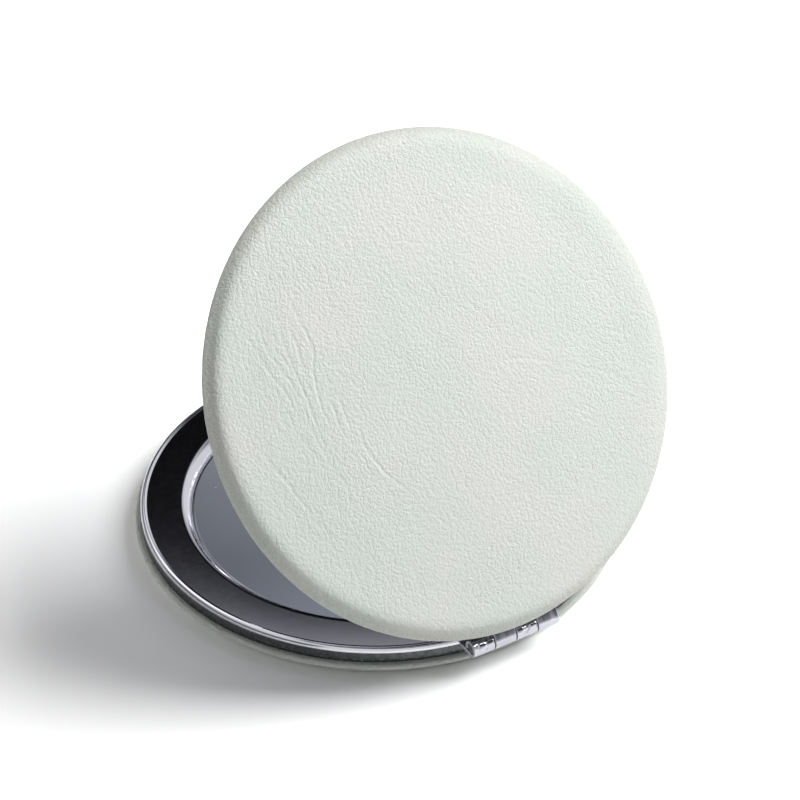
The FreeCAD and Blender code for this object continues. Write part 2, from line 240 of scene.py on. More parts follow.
def satin_pu_leather():
    """Pale sage coat. Its height is grit less pebbles, plus a net in places and fine folds on one side."""
    leather, tree = new_finish("satin_pu_leather")
    place = add(tree, "TexCoord").outputs["Object"]
    drift = add(tree, "TexNoise", {"Vector": place, "Scale": per_metre(DRIFT), "Detail": 2.0})
    bent = add(tree, "VectorMath", {0: drift.outputs["Color"], 1: (DRIFT_REACH,) * 3, 2: place},
               operation="MULTIPLY_ADD").outputs[0]
    pebble = add(tree, "TexVoronoi", {"Vector": place, "Scale": per_metre(PEBBLE), "Smoothness": 0.35},
                 feature="SMOOTH_F1").outputs["Distance"]
    grit = add(tree, "TexNoise", {"Vector": place, "Scale": per_metre(GRIT), "Detail": 2.0}).outputs["Fac"]
    net = add(tree, "TexVoronoi", {"Vector": bent, "Scale": per_metre(WRINKLE)},
              feature="DISTANCE_TO_EDGE").outputs["Distance"]
    level = add(tree, "Mapping", {"Vector": bent, "Rotation": (OPEN, 0, 0)}).outputs["Vector"]
    leaning = add(tree, "Mapping", {"Vector": level, "Rotation": (0, 0, FOLD_LEAN),
                                    "Scale": (1.0, FOLD_STRETCH, 1.0)}, vector_type="TEXTURE")
    folds = add(tree, "TexVoronoi", {"Vector": leaning.outputs["Vector"], "Scale": per_metre(FINE_FOLD)},
                feature="DISTANCE_TO_EDGE").outputs["Distance"]
    side = add(tree, "SeparateXYZ", {"Vector": place}).outputs["X"]
    patch = add(tree, "TexNoise", {"Vector": place, "Scale": per_metre(PATCH), "Detail": 1.0}).outputs["Fac"]
    folded = add(tree, "MapRange", {"Value": side, "From Min": FOLDS_FROM, "From Max": FOLDS_TO,
                                    "To Max": FOLDS_SHARE}).outputs[0]
    netted = add(tree, "MapRange", {"Value": patch, "From Min": 0.4, "From Max": 0.6, "To Min": NET_LEAST,
                                    "To Max": NET_MOST}).outputs[0]
    height = add(tree, "Math", {0: grit, 1: GRIT_SHARE}, operation="MULTIPLY").outputs[0]
    height = add(tree, "Math", {0: pebble, 1: -1.0, 2: height}, operation="MULTIPLY_ADD").outputs[0]
    for lines, share in ((net, netted), (folds, folded)):
        furrow = add(tree, "MapRange", {"Value": lines, "From Max": FURROW},
                     interpolation_type="SMOOTHSTEP").outputs[0]
        height = add(tree, "Math", {0: furrow, 1: share, 2: height}, operation="MULTIPLY_ADD").outputs[0]
    bump = add(tree, "Bump", {"Height": height, "Strength": 1.0, "Distance": GRAIN_DEPTH}).outputs["Normal"]
    cloud = add(tree, "TexNoise", {"Vector": place, "Scale": per_metre(CLOUD), "Detail": 2.0}).outputs["Fac"]
    tint = add(tree, "ValToRGB", {"Fac": cloud}, [(0.35, "#D3DAD4"), (0.65, "#DADBD7")])
    pale = tint.outputs["Color"]
    gloss = add(tree, "MapRange", {"Value": grit, "To Min": 0.42, "To Max": 0.6}).outputs[0]
    # Painted shade over the edge roll: darker and warmer, speckled by the grit
    painted_edge_shade = add(tree, "Attribute", attribute_name="painted_edge_shade").outputs["Fac"]
    speckle = add(tree, "MapRange", {"Value": grit, "From Min": 0.35, "From Max": 0.65, "To Min": 0.3})
    edge_shade_share = add(tree, "Math", {0: painted_edge_shade, 1: speckle.outputs[0]}, operation="MULTIPLY").outputs[0]
    dark = add(tree, "VectorMath", {0: pale, 1: EDGE_SHADE_TINT}, operation="MULTIPLY").outputs[0]
    colour = add(tree, "Mix", {0: edge_shade_share, 6: pale, 7: dark}, data_type="RGBA").outputs[2]
    coat = add(tree, "BsdfPrincipled", {"Base Color": colour, "Roughness": gloss, "Normal": bump,
                                        "IOR": 1.46})
    add(tree, "OutputMaterial", {"Surface": coat.outputs["BSDF"]})
    return leather


leather = satin_pu_leather()
print("finish:", leather.name)

# %% [markdown]
# A cover is a skin that starts at the middle of the face, rolls over the edge of the board and is
# turned in under the metal frame. Its face could be a spun profile, but then its cells would crowd at
# the middle, where creases need them to be even. So the face is a square grid pressed into a disc, and
# only the edge is spun, from the grid's outer ring. On the lid the grid's lines stand closer together
# where the long creases are, because a fold needs several cells across it.

# %% Grid and line helpers
CREASED, CREASED_HALF = -0.62, 0.22
CROWD_STEPS = 2001


def disc_grid(count, crowd=0.0):
    """Square grid pressed into a unit disc: square rings become circles, corners become quarter turns.

    Its lines across X crowd together about CREASED, as a bell that adds so much to their density.
    """
    side = np.linspace(-1, 1, count)
    fine = np.linspace(-1, 1, CROWD_STEPS)
    passed = np.cumsum(1 + crowd * np.exp(-((fine - CREASED) / CREASED_HALF) ** 2))
    lines = np.interp(np.linspace(passed[0], passed[-1], count), passed, fine)
    a, b = np.meshgrid(lines, side, indexing="ij")
    wide = np.abs(a) >= np.abs(b)
    radius = np.where(wide, a, b)
    share = np.where(wide, b, a) / radius
    angle = np.where(wide, math.pi / 4 * share, math.pi / 2 - math.pi / 4 * share)
    return radius * np.cos(angle), radius * np.sin(angle)


def grid_ring(count):
    """Indices of the grid's outer ring, anticlockwise."""
    run = np.arange(count - 1)
    last = count - 1
    return np.concatenate([run * count, last * count + run, (last - run) * count + last, last - run])


def smooth_line(corners, steps):
    """Catmull-Rom line: between two corners a cubic whose end slopes come from the corners beside them."""
    p = np.asarray(corners, float)
    p = np.vstack([2 * p[0] - p[1], p, 2 * p[-1] - p[-2]])
    t = np.linspace(0, 1, steps, endpoint=False)[None, :, None]
    a, b, c, d = (p[k:len(p) - 3 + k, None] for k in range(4))
    slope = (c - a) / 2
    bend = a - 2.5 * b + 2 * c - d / 2
    line = b + t * slope + t ** 2 * bend + t ** 3 * (1.5 * (b - c) + (d - a) / 2)
    return np.vstack([line.reshape(-1, p.shape[1]), p[-2]])


def arc(across, up, radius, start, end, count, mark_depth=0.0, marks=0):
    """Corners on an arc about a centre, between two angles in degrees, with so many shallow waves."""
    a = np.radians(np.linspace(start, end, count))
    share = np.linspace(0, 1, count)
    waved = radius + mark_depth * np.sin(2 * math.pi * marks * share) * np.sin(math.pi * share)
    return list(zip(across + waved * np.cos(a), up + waved * np.sin(a)))


def spread(coarse, count):
    """A coarse square array drawn out to count by count: each value spreads as a cubic B-spline hill."""
    at = np.linspace(0, len(coarse) - 1, count)
    away = np.abs(at[:, None] - np.arange(len(coarse)))
    inner = (4 - 6 * away ** 2 + 3 * away ** 3) / 6
    hill = np.where(away < 1, inner, np.clip(2 - away, 0, None) ** 3 / 6)
    hill /= hill.sum(1, keepdims=True)
    return hill @ coarse @ hill.T


# %% [markdown]
# The sponge under the skin is never quite even. A cloth simulation gives its swell: a coarse disc of
# cloth is held at its rim and blown up by a pressure that varies from place to place. Ten
# times life size suits the solver. Only the shape is kept, drawn out to the fine grid and scaled to
# the tenth of a millimetre that such a thin pad has.

# %% Swell the pad by simulation
SWELL_COUNT = 40
SWELL_SCALE = 10
SWELL_FRAMES = 20
PRESSURE, WEAKEST, PRESSURE_PATCHES = 4.0, 0.3, 9


def swell(seed):
    """How far each point of the coarse disc rises under pressure, as a share of the highest rise."""
    x, y = disc_grid(SWELL_COUNT)
    flat = np.stack([x, y, 0 * x], axis=-1).reshape(-1, 3) * COVER_R * MM * SWELL_SCALE
    index = np.arange(SWELL_COUNT ** 2).reshape(SWELL_COUNT, SWELL_COUNT)
    quads = np.stack([index[:-1, :-1], index[1:, :-1], index[1:, 1:], index[:-1, 1:]], axis=-1)
    mesh = bpy.data.meshes.new("swell")
    mesh.from_pydata(flat.tolist(), [], quads.reshape(-1, 4).tolist())
    cloth = bpy.data.objects.new("swell", mesh)
    bpy.context.scene.collection.objects.link(cloth)
    held = cloth.vertex_groups.new(name="held")
    held.add(grid_ring(SWELL_COUNT).tolist(), 1.0, "REPLACE")
    filled = cloth.vertex_groups.new(name="filled")
    patches = np.random.default_rng(seed).uniform(WEAKEST, 1.0, (PRESSURE_PATCHES, PRESSURE_PATCHES))
    share = spread(patches, SWELL_COUNT).ravel().round(1)
    for level in np.unique(share):
        filled.add(np.flatnonzero(share == level).tolist(), float(level), "REPLACE")
    settings = cloth.modifiers.new("cloth", "CLOTH").settings
    settings.vertex_group_mass = "held"
    settings.use_pressure = True
    settings.uniform_pressure_force = PRESSURE
    settings.vertex_group_pressure = "filled"
    settings.effector_weights.gravity = 0.0
    for number in range(1, SWELL_FRAMES + 1):
        bpy.context.scene.frame_set(number)
    blown = cloth.evaluated_get(bpy.context.evaluated_depsgraph_get())
    moved = np.empty(len(flat) * 3)
    blown.data.vertices.foreach_get("co", moved)
    rise = np.abs(moved.reshape(-1, 3)[:, 2]).reshape(SWELL_COUNT, SWELL_COUNT)
    bpy.data.objects.remove(cloth)
    bpy.context.scene.frame_set(1)
    print("simulated swell of %.1f mm at %d times life size" % (rise.max() / MM, SWELL_SCALE))
    return rise / rise.max()


# %% [markdown]
# Creases are grooves along smooth lines. The long ones on the lid follow the photograph; the short ones
# are drawn at random, with the run of the long ones near them. Each groove is a bell across its line,
# with low banks beside it where the coat is pushed up.

# %% Draw the creases
LONG_CREASES = [
    [(-25.8, -15.7), (-25.3, -13.0), (-24.1, -8.5), (-23.1, -6.3), (-22.4, -2.0)],
    [(-24.8, -20.8), (-23.9, -15.9), (-23.7, -12.5), (-22.6, -9.2), (-21.7, -6.6), (-21.7, -4.0)],
    [(-20.3, -19.6), (-21.1, -13.5), (-20.9, -8.9), (-20.4, -4.1), (-20.3, -0.9), (-20.1, 2.5)],
    [(-18.9, -21.3), (-18.2, -16.5), (-17.4, -10.4), (-18.3, -7.7), (-18.8, -2.7), (-18.3, 1.6)],
    [(-17.7, -3.6), (-17.2, -2.1), (-17.2, 0.1), (-17.0, 1.9)],
    [(-20.1, -14.6), (-19.5, -12.2), (-19.5, -10.0), (-19.5, -7.0)],
    [(-22.2, -11.6), (-21.6, -9.7), (-21.2, -7.5)],
    [(-16.0, -3.6), (-15.9, -0.4), (-15.7, 1.6)],
    [(-29.4, -1.1), (-28.4, 1.8), (-26.9, 5.1), (-25.8, 8.3), (-24.4, 11.2)],
    [(6.4, -9.6), (8.6, -6.5), (9.5, -4.2), (10.3, -2.0)],
    [(8.5, -0.1), (10.7, 0.2), (12.7, 0.8), (17.4, 3.3)],
    [(-14.7, 0.5), (-14.5, 4.5), (-13.4, 7.5), (-11.8, 10.3), (-8.8, 14.2)],
    [(17.9, 3.4), (24.2, 6.6), (27.7, 11.2), (27.6, 14.7)],
]
LONG_WIDTH, LONG_DEPTH = 0.2, 0.11
SHORT_WIDTH, SHORT_DEPTH = 0.32, 0.025
SHORT_COUNT, SHORT_STEPS, SHORT_STEP = 110, 4, (0.8, 2.4)
SHORT_PLACE, SHORT_BEND = 0.95, 0.05
HEADING_AT, HEADING, HEADING_SPREAD = (-25, 5, 28), (84, 58, 12), 11
GROOVE_REACH, BANK, BANK_SPREAD, END_FADE = 5, 0.35, 5, 0.7


def groove(x, y, line, width, depth):
    """Nothing far from the line; near it a bell across it less a wider, lower one, fading to its ends."""
    relief = np.zeros_like(x)
    reached = GROOVE_REACH * width
    near = (x > line[:, 0].min() - reached) & (x < line[:, 0].max() + reached)
    near &= (y > line[:, 1].min() - reached) & (y < line[:, 1].max() + reached)
    p = np.stack([x[near], y[near]], axis=-1)[:, None]
    run = np.diff(line, axis=0)
    along = np.clip(((p - line[:-1]) * run).sum(-1) / (run ** 2).sum(-1), 0, 1)
    away = ((p - line[:-1] - along[..., None] * run) ** 2).sum(-1)
    nearest = away.argmin(1)
    rows = np.arange(len(nearest))
    share = (nearest + along[rows, nearest]) / len(run)
    away = away[rows, nearest] / width ** 2
    across = np.exp(-away) - BANK * np.exp(-away / BANK_SPREAD)
    relief[near] = depth * np.sin(math.pi * share) ** END_FADE * across
    return relief


def short_creases(seed):
    """Random short lines: towards the hinge on one side of the face, out to the edge on the other."""
    draw = np.random.default_rng(seed)
    lines = []
    for _ in range(SHORT_COUNT):
        start = draw.uniform(-SHORT_PLACE, SHORT_PLACE, 2) * COVER_R
        heading = np.interp(start[0], HEADING_AT, HEADING) + draw.normal(0, HEADING_SPREAD)
        bend = draw.normal(0, SHORT_BEND)
        step = draw.uniform(*SHORT_STEP)
        headings = math.radians(heading) + bend * np.arange(SHORT_STEPS)
        steps = step * np.stack([np.cos(headings), np.sin(headings)], axis=-1)
        lines.append(np.vstack([start, start + np.cumsum(steps, axis=0)]))
    return lines


print("%d long creases, %d short ones on each cover" % (len(LONG_CREASES), SHORT_COUNT))

# %% [markdown]
# The section of the skin runs from the middle of the face, round the fold at the board's edge, up the
# side and round the shoulder. The sponge ends a little inside the board's edge, so the skin drops over
# it, eases outwards again over the board and only then turns up. On part of the lid's edge this fold is
# pulled out to a plain round. From the shoulder the section goes straight: in over the board, down its
# thickness, back out, and home along the inside of the face. The base is flat where it rests, and the
# lid is crowned. The side is a little uneven, as gathered skin is.

# %% Sections of the skin
SKIN, CROWN = PAD_Z, 0.3
FACES = {
    "base": [(0, 0), (24.5, 0), (28, 0.02), (31, 0.12)],
    "lid": [(0, 0), (14, 0.03), (24, 0.08), (30, 0.13), (31.6, 0.15)],
}
FOLD = [
    (32.5, 0.19), (32.9, 0.24), (33.25, 0.32), (33.55, 0.44), (33.8, 0.62), (34.0, 0.85), (34.18, 1.09),
    (34.4, 1.32), (34.65, 1.52), (34.88, 1.7), (35.0, 1.9), (34.96, 2.1), (34.83, 2.27), (34.63, 2.37),
    (34.4, 2.4), (33.9, COVER_TOP),
]
PLAIN = [
    (32.5, 0.19), (32.95, 0.22), (33.35, 0.28), (33.7, 0.37), (34.0, 0.48), (34.27, 0.62), (34.5, 0.79),
    (34.7, 1.0), (34.86, 1.25), (34.96, 1.55),
] + FOLD[10:]
# On the lid: degrees round the edge from -X, and the share of the fold there
FOLDED = [(-125, 0), (-85, 1), (22, 1), (62, 0)]
TURN_IN_R, INNER_R = 30.0, 2.0
PAD_SLOPE = 1.2
print("%d corners in the fold, %d in the plain round" % (len(FOLD), len(PLAIN)))

# %% Build the covers
SKIN_COUNT = 232
CROWD = {"base": 0.0, "lid": 1.4}
GRID_R, GRID_GAP, CALM = 32.4, 0.05, 4
SWELL_HEIGHT = 0.10
UNEVEN, UNEVEN_PATCHES = 0.02, 16
FIRST_WAVE, SIDE_WAVES = 5, 40
SIDE_RIPPLE = {"base": 0.03, "lid": 0.012}
SIDE_R = 34.3
# Painted shade over the edge roll: the radii over which it grows, and its share on each half
PAINTED_EDGE_SHADE_R = (33.0, 34.3)
PAINTED_EDGE_SHADE = {"base": 0.6, "lid": 1.0}


def skin_shell(half, seed, long_creases):
    """A disc grid at the section's height plus creases and what the lid's swell lacks, closed by rings."""
    section = smooth_line(FACES[half] + FOLD, 2)
    plain = smooth_line(FACES[half] + PLAIN, 2)
    x, y = (GRID_R * axis.ravel() for axis in disc_grid(SKIN_COUNT, CROWD[half]))
    r = np.hypot(x, y)
    relief = np.zeros_like(r)
    for corners in long_creases:
        relief += groove(x, y, smooth_line(corners, 6), LONG_WIDTH, LONG_DEPTH)
    for corners in short_creases(seed):
        relief += groove(x, y, smooth_line(corners, 3), SHORT_WIDTH, SHORT_DEPTH)
    lumps = np.random.default_rng(seed + 1).normal(0, UNEVEN, (UNEVEN_PATCHES, UNEVEN_PATCHES))
    uneven = spread(lumps, SKIN_COUNT).ravel()
    rise = SWELL_HEIGHT * (spread(swell(seed + 2), SKIN_COUNT).ravel() - 1)
    calm = np.clip((GRID_R - r) / CALM, 0, 1)
    z = np.interp(r, section[:, 0], section[:, 1])
    z = z + relief * calm + (uneven - rise * (half == "lid")) * calm
    if half == "base":
        z = np.maximum(z, 0)
    face = np.stack([x, y, z], axis=-1)
    index = np.arange(SKIN_COUNT ** 2).reshape(SKIN_COUNT, SKIN_COUNT)
    quads = np.stack([index[:-1, :-1], index[:-1, 1:], index[1:, 1:], index[1:, :-1]], axis=-1)
    first = np.argmax(section[:, 0] > GRID_R + GRID_GAP)
    inside = [(TURN_IN_R, COVER_TOP), (TURN_IN_R, BOARD_TOP), (PAD_R, BOARD_TOP), (PAD_R, BOARD_Z)]
    inside.append((PAD_R - PAD_SLOPE, SKIN + CROWN))
    inside += [(across, drop + SKIN) for across, drop in reversed(FACES[half][1:])] + [(INNER_R, SKIN)]
    ring = grid_ring(SKIN_COUNT)
    u = np.arctan2(y[ring], x[ring])
    folded = np.ones_like(u)
    if half == "lid":
        folded = np.interp(np.degrees(np.arctan2(-y[ring], -x[ring])), *zip(*FOLDED))
    folded = (folded ** 2 * (3 - 2 * folded))[:, None]
    edge = plain[first:, None] + folded * (section - plain)[first:, None]
    edge = np.concatenate([edge, np.broadcast_to(np.array(inside)[:, None], (len(inside), len(u), 2))])
    draw = np.random.default_rng(seed + 3)
    waves = np.arange(FIRST_WAVE, FIRST_WAVE + SIDE_WAVES)[:, None]
    phases = draw.uniform(0, 2 * math.pi, (SIDE_WAVES, 1))
    ripple = np.sin(waves * u + phases).sum(0) / math.sqrt(SIDE_WAVES)
    radius = edge[..., 0] - SIDE_RIPPLE[half] * np.abs(ripple) * (edge[..., 0] > SIDE_R)
    rings = np.stack([radius * np.cos(u), radius * np.sin(u), edge[..., 1]], axis=-1)
    rows = np.vstack([ring, len(face) + np.arange(rings.size // 3).reshape(len(edge), -1)])
    ahead = np.roll(rows, -1, axis=1)
    strip = np.stack([rows[:-1], ahead[:-1], ahead[1:], rows[1:]], axis=-1)
    points = np.vstack([face, rings.reshape(-1, 3), [[0, 0, PAD_Z]]])
    middle = np.full(len(u), len(points) - 1)
    fan = np.stack([rows[-1], ahead[-1], middle], axis=-1)
    return points, [quads.reshape(-1, 4), strip.reshape(-1, 4), fan], None


covers = {}
for half, seed, creases in (("base", 40, []), ("lid", 11, LONG_CREASES)):
    shells = [skin_shell(half, seed, creases)]
    covers[half] = make_piece(half + "_cover", half, shells, leather,
                              half + "_leather_cover")
    out = np.hypot(*shells[0][0][:, :2].T)
    # The share of painted shade over the edge roll, for the leather to read
    mark(covers[half], "painted_edge_shade", np.interp(out, PAINTED_EDGE_SHADE_R, (0, PAINTED_EDGE_SHADE[half])))

# %% [markdown]
# ## Turned and drawn shapes
# Most of what is left is turned or drawn: a section is spun about an axis or carried along one. Real
# edges are never sharp, so each corner of a section becomes a small arc, and each point keeps the exact
# normal of its run or arc.


# %% Sections with rounded corners
def bend_path(corners, closed=False, steps=5):
    """Points and left-hand normals: a corner (across, up, radius) becomes an arc touching both its runs."""
    p = np.array([corner[:2] for corner in corners], float)
    path, normals = [], []
    for k, corner in enumerate(corners):
        ahead = p[(k + 1) % len(p)] - p[k] if closed or k < len(p) - 1 else p[k] - p[k - 1]
        behind = p[k] - p[k - 1] if closed or k else ahead
        ahead, behind = ahead / np.linalg.norm(ahead), behind / np.linalg.norm(behind)
        turn = math.atan2(behind[0] * ahead[1] - behind[1] * ahead[0], behind @ ahead)
        left = np.array([-behind[1], behind[0]])
        back = np.array([-left[1], left[0]])
        radius = corner[2] if len(corner) > 2 else 0
        if radius:
            start = p[k] - behind * radius * math.tan(abs(turn) / 2)
            centre = start + left * math.copysign(radius, turn)
            a = np.linspace(0, turn, steps + 1)[:, None]
            spun = left * np.cos(a) + back * np.sin(a)
            path.append(centre - math.copysign(radius, turn) * spun)
            normals.append(spun)
        else:
            spun = left * math.cos(turn / 2) + back * math.sin(turn / 2)
            path.append(p[k][None])
            normals.append(spun[None])
    return np.vstack(path), np.vstack(normals)


def lathe(corners, segments=600):
    """Spins a section (r, z) about Z: (r cos u, r sin u, z). Its first and last corners lie on the axis."""
    path, left = bend_path(corners)
    u = np.linspace(0, 2 * math.pi, segments, endpoint=False)
    spin = np.stack([np.cos(u), np.sin(u)], axis=-1)

    def spun(flat):
        around = flat[1:-1, None, :1] * spin
        upward = np.repeat(flat[1:-1, None, 1:], segments, axis=1)
        ends = np.stack([0 * flat[[0, -1], 0], 0 * flat[[0, -1], 0], flat[[0, -1], 1]], axis=-1)
        return np.vstack([np.concatenate([around, upward], axis=-1).reshape(-1, 3), ends])

    rows = np.arange((len(path) - 2) * segments).reshape(-1, segments)
    ahead = np.roll(rows, -1, axis=1)
    quads = np.stack([rows[:-1], rows[1:], ahead[1:], ahead[:-1]], axis=-1).reshape(-1, 4)
    start = np.full(segments, rows.size)
    first = np.stack([start, rows[0], ahead[0]], axis=-1)
    last = np.stack([rows[-1], start + 1, ahead[-1]], axis=-1)
    return spun(path), [quads, first, last], spun(left)


# %% [markdown]
# ## Chrome
# The frames are stamped from thin sheet, polished and plated with nickel and a flash of chromium. Bright
# chrome is a mirror with a faint lilac-grey tint. Fine polishing marks blur it a little unevenly, and
# the thin sheet is never perfectly flat. Two places differ, and a value on each point says where: metal
# painted dark and dull, which on the frame's wall is a painted dark reflection, and a cut end, which is matt.

# %% Bright chrome plate
POLISH, WAVE, TARNISH = 0.7, 3.5, 9.0
PAINTED_DARK_ROUGH, CUT_ROUGH, CUT_METAL = 0.2, 0.45, 0.45


def bright_chrome(name, dim, bright, waviness):
    """Mirror-bright metal with uneven polish and a slow wave; painted dark and dull where painted_dark is 1,
    matt where cut is 1.
    """
    chrome, tree = new_finish(name)
    place = add(tree, "TexCoord").outputs["Object"]
    painted_dark = add(tree, "Attribute", attribute_name="painted_dark").outputs["Fac"]
    cut = add(tree, "Attribute", attribute_name="cut").outputs["Fac"]
    polish = add(tree, "TexNoise", {"Vector": place, "Scale": per_metre(POLISH),
                                    "Detail": 4.0}).outputs["Fac"]
    gloss = add(tree, "MapRange", {"Value": polish, "From Min": 0.3, "From Max": 0.7, "To Min": 0.06,
                                   "To Max": 0.085}).outputs[0]
    gloss = add(tree, "Math", {0: painted_dark, 1: PAINTED_DARK_ROUGH, 2: gloss}, operation="MULTIPLY_ADD").outputs[0]
    gloss = add(tree, "Math", {0: cut, 1: CUT_ROUGH, 2: gloss}, operation="MULTIPLY_ADD").outputs[0]
    plated = add(tree, "MapRange", {"Value": cut, "To Min": 1.0, "To Max": CUT_METAL}).outputs[0]
    wave = add(tree, "TexNoise", {"Vector": place, "Scale": per_metre(WAVE), "Detail": 1.0}).outputs["Fac"]
    bump = add(tree, "Bump", {"Height": wave, "Strength": 1.0, "Distance": waviness * MM}).outputs["Normal"]
    tarnish = add(tree, "TexNoise", {"Vector": place, "Scale": per_metre(TARNISH), "Detail": 3.0})
    shine = add(tree, "ValToRGB", {"Fac": tarnish.outputs["Fac"]}, [(0.3, dim), (0.6, bright)])
    # Painted dark: where painted_dark is 1 the colour turns this dark grey; on the frame's wall it is a
    # painted dark reflection
    dull = add(tree, "ValToRGB", {"Fac": polish}, [(0.35, "#505353"), (0.7, "#626565")])
    tint = add(tree, "Mix", {0: painted_dark, 6: shine.outputs["Color"], 7: dull.outputs["Color"]}, data_type="RGBA")
    metal = add(tree, "BsdfPrincipled", {"Base Color": tint.outputs[2], "Metallic": plated,
                                         "Roughness": gloss, "Normal": bump})
    add(tree, "OutputMaterial", {"Surface": metal.outputs["BSDF"]})
    return chrome


frame_chrome = bright_chrome("bright_chrome_frame", "#C1C1C9", "#CBCBD2", 0.0012)
# The hinge's copy is tinted darker than the frame's: painted shade that offsets the lifted table it reflects
hinge_chrome = bright_chrome("bright_chrome_hinge", "#AEAEB6", "#BABAC2", 0.01)
print("finishes:", frame_chrome.name, "and", hinge_chrome.name)

# %% [markdown]
# The frame's section starts on the axis in the mirror's seat and climbs outwards: wall of the seat, round,
# flat ring, the little slope to the lip, then the round into the wall and down to its foot on the
# leather. The inside of the sheet follows half a millimetre away. The outside of the wall is painted dark
# and dull, as a painted dark reflection.

# %% Spin the frames
SHEET = 0.5
LIP_R, LIP_SLOPE, LIP_HEIGHT = WALL_R - 0.6, 0.35, 0.15
RING_R, RING_Z, RING_WIDTH = LIP_R - LIP_SLOPE, RIM_Z - LIP_HEIGHT, 4.75
BEVEL_R, BEVEL_WIDTH, BEVEL_DROP = RING_R - RING_WIDTH, 1.7, 1.35
BEVEL_ROUND = (BEVEL_WIDTH ** 2 + BEVEL_DROP ** 2) / (2 * BEVEL_DROP)
LEDGE_R, LEDGE_Z, LEDGE_WIDTH = BEVEL_R - BEVEL_WIDTH, RING_Z - BEVEL_DROP, 0.05
SEAT_R, SEAT_Z = LEDGE_R - LEDGE_WIDTH, PAN_Z + SHEET
CHANNEL_R, RING_UNDER = WALL_R - SHEET, RING_Z - SHEET
SEAT_ROUND = BEVEL_R - SEAT_R - SHEET
WALL_ROUND = 0.7
ROLL_MARK, ROLL_MARKS = 0.004, 6
ROUND_R = WALL_R - WALL_ROUND
ROUND_Z = RIM_Z - math.sqrt(WALL_ROUND ** 2 - (LIP_R - ROUND_R) ** 2)
PAINTED_DARK_Z, PAINTED_DARK_DEPTH = ROUND_Z - 0.06, 0.12
NEAR = 0.01

crest = math.degrees(math.atan2(RIM_Z - ROUND_Z, LIP_R - ROUND_R))
steep = 180 - math.degrees(math.asin((LEDGE_Z - RING_Z + BEVEL_ROUND) / BEVEL_ROUND))
bevel = arc(BEVEL_R, RING_Z - BEVEL_ROUND, BEVEL_ROUND, steep, 90, 64, ROLL_MARK, ROLL_MARKS)
wall_top = arc(ROUND_R, ROUND_Z, WALL_ROUND, crest - 10, 0, 20)
seat_under = arc(BEVEL_R, RING_UNDER - SEAT_ROUND, SEAT_ROUND, 90, 180, 20)
# Each corner is (across, up), with the radius of its bend where it has one
frame_section = [
    (0, SEAT_Z), (SEAT_R, SEAT_Z, 0.15), (SEAT_R, LEDGE_Z, 0.02),
    *bevel, (RING_R, RING_Z, 0.12), (LIP_R, RIM_Z, 0.15),
    *wall_top, (WALL_R, PAINTED_DARK_Z), (WALL_R, COVER_TOP, 0.1),
    (CHANNEL_R, COVER_TOP, 0.1), (CHANNEL_R, RING_UNDER, 0.15),
    *seat_under, (SEAT_R + SHEET, PAN_Z, 0.4), (0, PAN_Z),
]
frame_shell = lathe(frame_section)
across = np.hypot(frame_shell[0][:, 0], frame_shell[0][:, 1])
# The outside of the wall is painted dark: a painted dark reflection
painted_dark = (across > WALL_R - PAINTED_DARK_DEPTH) & (frame_shell[0][:, 2] < PAINTED_DARK_Z + NEAR)
for half in ("base", "lid"):
    piece = make_piece(half + "_chrome_frame", half, [frame_shell], frame_chrome,
                       half + "_frame")
    mark(piece, "painted_dark", painted_dark)

# %% [markdown]
# ## Mirrors
# A pocket mirror is float glass silvered on its back, with a ground edge. It is less black than chrome
# in the same light, because a new one still has its thin protective film, which scatters some light as a
# grey-blue haze. A part that isn't metallic gives that haze. Towards the hinge the haze is made thicker,
# so that the glass reads lighter there: a painted gradient of reflected light.
# The lid's glass is hollowed, so that it magnifies.

# %% Silvered glass
# Painted light gradient: between these two places along Y the haze grows towards the hinge
PAINTED_GRADIENT_FROM, PAINTED_GRADIENT_TO, FILM_CLOUD = -15 * MM, 15 * MM, 18.0
BARE_FAR, BARE_NEAR, BARE_CLOUD = 0.59, 0.39, 0.06
DUST = 4.5


def silvered_glass():
    """Sharp reflection under a haze that varies in clouds and grows along Y as a painted light gradient, with
    sparse specks of dust.
    """
    silver, tree = new_finish("silvered_glass")
    place = add(tree, "TexCoord").outputs["Object"]
    cloud = add(tree, "TexNoise", {"Vector": place, "Scale": per_metre(FILM_CLOUD), "Detail": 2.0})
    deep = add(tree, "SeparateXYZ", {"Vector": place}).outputs["Y"]
    painted_gradient = add(tree, "MapRange", {"Value": deep, "From Min": PAINTED_GRADIENT_FROM, "From Max": PAINTED_GRADIENT_TO,
                                  "To Min": BARE_FAR, "To Max": BARE_NEAR})
    haze = add(tree, "Math", {0: cloud.outputs["Fac"], 1: -BARE_CLOUD, 2: painted_gradient.outputs[0]},
               operation="MULTIPLY_ADD").outputs[0]
    specks = add(tree, "TexVoronoi", {"Vector": place, "Scale": per_metre(DUST)}).outputs["Distance"]
    dust = add(tree, "MapRange", {"Value": specks, "From Min": 0.025, "From Max": 0.05, "To Min": 0.3,
                                  "To Max": 0.02}).outputs[0]
    glass = add(tree, "BsdfPrincipled", {"Base Color": linear("#D6DBE7"), "Metallic": haze,
                                         "Roughness": dust})
    add(tree, "OutputMaterial", {"Surface": glass.outputs["BSDF"]})
    return silver


silver = silvered_glass()
GROUND_EDGE, GROUND_ROUND = 0.25, 0.04
DISH = 0.3
clear_r = GLASS_R - GROUND_EDGE
hollow_r = np.linspace(0, clear_r, 30)
hollow = list(zip(hollow_r, GLASS_TOP - DISH * (1 - (hollow_r / clear_r) ** 2)))
MIRROR_FACES = {"base": [(0, GLASS_TOP), (clear_r, GLASS_TOP, GROUND_ROUND)], "lid": hollow}
ground = [(GLASS_R, GLASS_TOP - GROUND_EDGE, GROUND_ROUND), (GLASS_R, GLASS_Z, GROUND_ROUND), (0, GLASS_Z)]
for half, clear_face in MIRROR_FACES.items():
    shells = [lathe(clear_face + ground, 480)]
    make_piece(half + "_glass", half, shells, silver, half + "_mirror")
